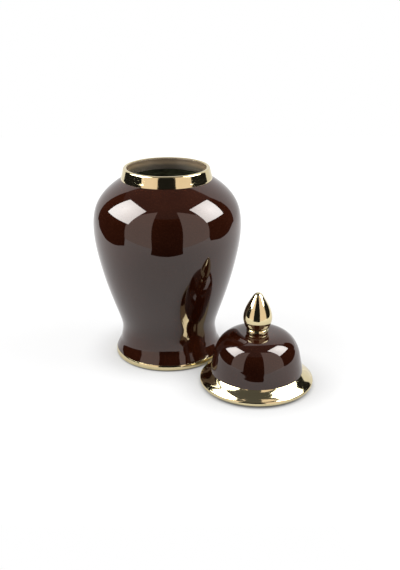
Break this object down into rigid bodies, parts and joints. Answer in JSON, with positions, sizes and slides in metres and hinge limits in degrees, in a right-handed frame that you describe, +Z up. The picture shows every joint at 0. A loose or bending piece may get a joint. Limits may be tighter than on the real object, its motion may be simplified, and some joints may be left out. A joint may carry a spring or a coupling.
{
  "type": "lidded baluster jar",
  "caption": "Lidded baluster storage jar in dark glazed ceramic with polished metal collar, foot band, lid rim and bud finial; the lid stands beside it.",
  "frame": {"origin": "centre of the jar's foot, on the table", "axes": "+Z up along the jar's axis and out of its mouth; the view of the picture looks along +Y, so the lid stands towards +X and -Y"},
  "size_m": [0.2925, 0.2752, 0.2655],
  "materials": {
    "oxblood_glaze": "deep red-brown glaze, mirror gloss",
    "gilt_metal": "mirror-polished pale gold",
    "soft_washer": "matt",
    "steel": "plain bright zinc-plated steel"
  },
  "bodies": {
    "jar": {"jar_body": "oxblood_glaze", "neck_collar": "gilt_metal", "foot_band": "gilt_metal"},
    "lid": {"lid_dome": "oxblood_glaze", "lid_rim": "gilt_metal", "finial_collar": "gilt_metal", "finial_bud": "gilt_metal", "finial_stud": "steel", "soft_washer": "soft_washer", "steel_washer": "steel", "finial_nut": "steel"}
  },
  "joints": [
    {"name": "lid_lift", "type": "slide", "parent": "jar", "child": "lid", "axis": [0.1968, -0.1681, 0.9659], "range_m": [0, 0.32]}
  ]
}
